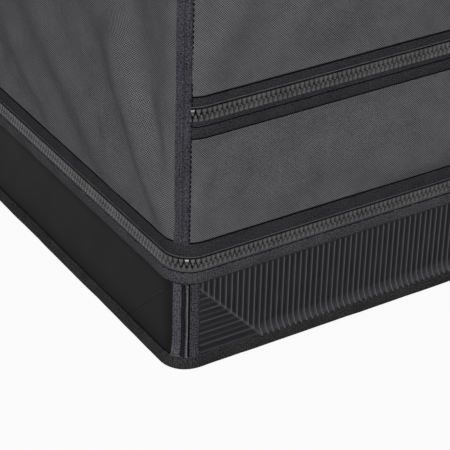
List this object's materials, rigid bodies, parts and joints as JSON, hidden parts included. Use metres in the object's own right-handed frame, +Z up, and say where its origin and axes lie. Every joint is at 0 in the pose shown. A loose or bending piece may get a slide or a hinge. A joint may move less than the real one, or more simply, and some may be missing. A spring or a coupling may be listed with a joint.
{
  "type": "roof box",
  "caption": "Soft folding roof box with a ribbed low wall, a zipped fabric lid hinged along the back, a second zip across the front and roof-bar clamps.",
  "frame": {"origin": "the middle of the box in plan, at the height of the lowest faces of its U-bolts", "axes": "+X along the long side, the ribbed front facing -Y, +Z up"},
  "size_m": [1.12, 0.82, 0.467],
  "materials": {
    "grey_fabric": "coated woven polyester, matt",
    "black_tape": "woven tape",
    "band_sheet": "satin coated sheet, ribbed on the front",
    "zip_plastic": "moulded teeth, slight gloss",
    "floor_board": "fine grain",
    "zinc_steel": "zinc plated",
    "black_metal": "satin black",
    "knob_plastic": "moulded, fine grain"
  },
  "bodies": {
    "base": {"floor_panel": "floor_board", "bottom_skin": "black_tape", "bottom_binding": "black_tape", "band_front": "band_sheet", "band_right": "band_sheet", "band_back": "band_sheet", "band_left": "band_sheet", "band_post_front_right": "black_tape", "band_post_back_right": "black_tape", "band_post_back_left": "black_tape", "band_post_front_left": "black_tape", "hinge_strip": "black_tape", "base_zip_tape": "black_tape", "base_zip_row": "zip_plastic", "u_bolt_front_left": "zinc_steel", "u_bolt_back_left": "zinc_steel", "u_bolt_front_right": "zinc_steel", "u_bolt_back_right": "zinc_steel", "clamp_plate_front_left": "zinc_steel", "clamp_plate_back_left": "zinc_steel", "clamp_plate_front_right": "zinc_steel", "clamp_plate_back_right": "zinc_steel"},
    "lid": {"panel_front_lower": "grey_fabric", "panel_front_upper": "grey_fabric", "panel_right": "grey_fabric", "panel_back": "grey_fabric", "panel_left": "grey_fabric", "top_panel": "grey_fabric", "seam_tape_front_right": "black_tape", "seam_tape_back_right": "black_tape", "seam_tape_back_left": "black_tape", "seam_tape_front_left": "black_tape", "top_piping": "black_tape", "lid_zip_row": "zip_plastic", "lid_zip_tape": "black_tape", "front_zip_lower_tape": "black_tape", "front_zip_upper_tape": "black_tape", "front_zip_lower_row": "zip_plastic", "front_zip_upper_row": "zip_plastic"},
    "lid_zip_slider_left": {"lid_zip_slider_left": "black_metal"},
    "lid_zip_pull_tab_left": {"lid_zip_pull_tab_left": "black_metal"},
    "lid_zip_slider_right": {"lid_zip_slider_right": "black_metal"},
    "lid_zip_pull_tab_right": {"lid_zip_pull_tab_right": "black_metal"},
    "front_zip_slider": {"front_zip_slider": "black_metal"},
    "front_zip_pull_tab": {"front_zip_pull_tab": "black_metal"},
    "knob_front_left_a": {"knob_front_left_a": "knob_plastic"},
    "knob_front_left_b": {"knob_front_left_b": "knob_plastic"},
    "knob_back_left_a": {"knob_back_left_a": "knob_plastic"},
    "knob_back_left_b": {"knob_back_left_b": "knob_plastic"},
    "knob_front_right_a": {"knob_front_right_a": "knob_plastic"},
    "knob_front_right_b": {"knob_front_right_b": "knob_plastic"},
    "knob_back_right_a": {"knob_back_right_a": "knob_plastic"},
    "knob_back_right_b": {"knob_back_right_b": "knob_plastic"}
  },
  "joints": [
    {"name": "lid_hinge", "type": "hinge", "parent": "base", "child": "lid", "pos_m": [0, 0.4005, 0.12429], "axis": [-1, 0, 0], "range_deg": [0, 100]},
    {"name": "lid_zip_slider_left_slide", "type": "slide", "parent": "lid", "child": "lid_zip_slider_left", "axis": [-1, 0, 0], "range_m": [0, 0.505]},
    {"name": "lid_zip_pull_tab_left_turn", "type": "hinge", "parent": "lid_zip_slider_left", "child": "lid_zip_pull_tab_left", "pos_m": [-0.013, -0.4046, 0.12329], "axis": [0, 0, 1], "range_deg": [0, 100]},
    {"name": "lid_zip_slider_right_slide", "type": "slide", "parent": "lid", "child": "lid_zip_slider_right", "axis": [1, 0, 0], "range_m": [0, 0.505]},
    {"name": "lid_zip_pull_tab_right_turn", "type": "hinge", "parent": "lid_zip_slider_right", "child": "lid_zip_pull_tab_right", "pos_m": [0.013, -0.4046, 0.12329], "axis": [0, 0, -1], "range_deg": [0, 100]},
    {"name": "front_zip_slider_slide", "type": "slide", "parent": "lid", "child": "front_zip_slider", "axis": [-1, 0, 0], "range_m": [0, 1.036]},
    {"name": "front_zip_pull_tab_turn", "type": "hinge", "parent": "front_zip_slider", "child": "front_zip_pull_tab", "pos_m": [0.518, -0.4046, 0.22639], "axis": [0, 0, 1], "range_deg": [0, 170]},
    {"name": "knob_front_left_a_turn", "type": "hinge", "parent": "base", "child": "knob_front_left_a", "pos_m": [-0.34, -0.25, 0.05649], "axis": [0, 0, 1], "continuous": true},
    {"name": "knob_front_left_b_turn", "type": "hinge", "parent": "base", "child": "knob_front_left_b", "pos_m": [-0.26, -0.25, 0.05649], "axis": [0, 0, 1], "continuous": true},
    {"name": "knob_back_left_a_turn", "type": "hinge", "parent": "base", "child": "knob_back_left_a", "pos_m": [-0.34, 0.25, 0.05649], "axis": [0, 0, 1], "continuous": true},
    {"name": "knob_back_left_b_turn", "type": "hinge", "parent": "base", "child": "knob_back_left_b", "pos_m": [-0.26, 0.25, 0.05649], "axis": [0, 0, 1], "continuous": true},
    {"name": "knob_front_right_a_turn", "type": "hinge", "parent": "base", "child": "knob_front_right_a", "pos_m": [0.26, -0.25, 0.05649], "axis": [0, 0, 1], "continuous": true},
    {"name": "knob_front_right_b_turn", "type": "hinge", "parent": "base", "child": "knob_front_right_b", "pos_m": [0.34, -0.25, 0.05649], "axis": [0, 0, 1], "continuous": true},
    {"name": "knob_back_right_a_turn", "type": "hinge", "parent": "base", "child": "knob_back_right_a", "pos_m": [0.26, 0.25, 0.05649], "axis": [0, 0, 1], "continuous": true},
    {"name": "knob_back_right_b_turn", "type": "hinge", "parent": "base", "child": "knob_back_right_b", "pos_m": [0.34, 0.25, 0.05649], "axis": [0, 0, 1], "continuous": true}
  ]
}
